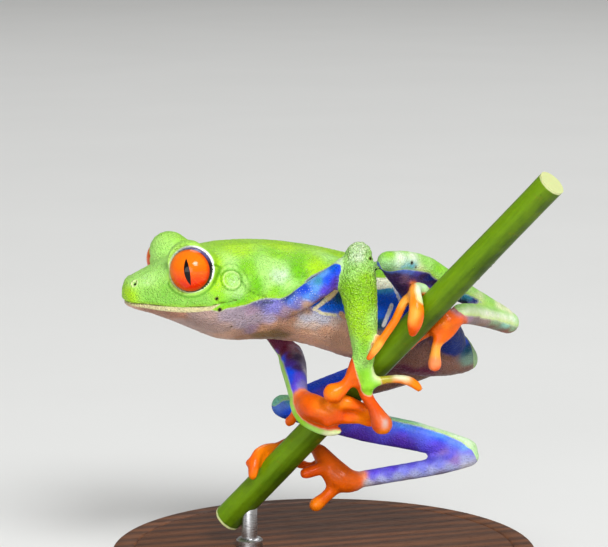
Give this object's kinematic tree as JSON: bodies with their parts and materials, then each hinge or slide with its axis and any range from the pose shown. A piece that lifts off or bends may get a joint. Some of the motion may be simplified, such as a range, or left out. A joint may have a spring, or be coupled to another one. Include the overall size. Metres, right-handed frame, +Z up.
{
  "type": "red-eyed tree frog model",
  "caption": "Life-size still model of a red-eyed tree frog gripping a cut green stem, held by a rod on a flat round wooden base.",
  "frame": {"origin": "centre of the display base's underside", "axes": "+Z up, square to the base's underside; the frog looks along -X and its left side faces -Y"},
  "size_m": [0.068, 0.0727, 0.068],
  "materials": {
    "skin_green": "moist satin, finely granular",
    "skin_blue": "moist satin, smooth",
    "skin_orange": "moist satin, smooth",
    "eye": "wet gloss",
    "stem": "fresh green stem, satin",
    "base": "stained and waxed",
    "rod": "brushed"
  },
  "bodies": {
    "root": {"head": "skin_green", "trunk": "skin_green", "eye_left": "eye", "eye_right": "eye", "upper_arm_left": "skin_blue", "forearm_left": "skin_green", "hand_left": "skin_orange", "upper_arm_right": "skin_blue", "forearm_right": "skin_blue", "hand_right": "skin_orange", "thigh_left": "skin_blue", "shank_left": "skin_green", "tarsus_left": "skin_green", "foot_left": "skin_orange", "thigh_right": "skin_blue", "shank_right": "skin_blue", "tarsus_right": "skin_blue", "foot_right": "skin_orange", "perch_stem": "stem", "stand_base": "base", "stand_rod": "rod"}
  },
  "joints": []
}
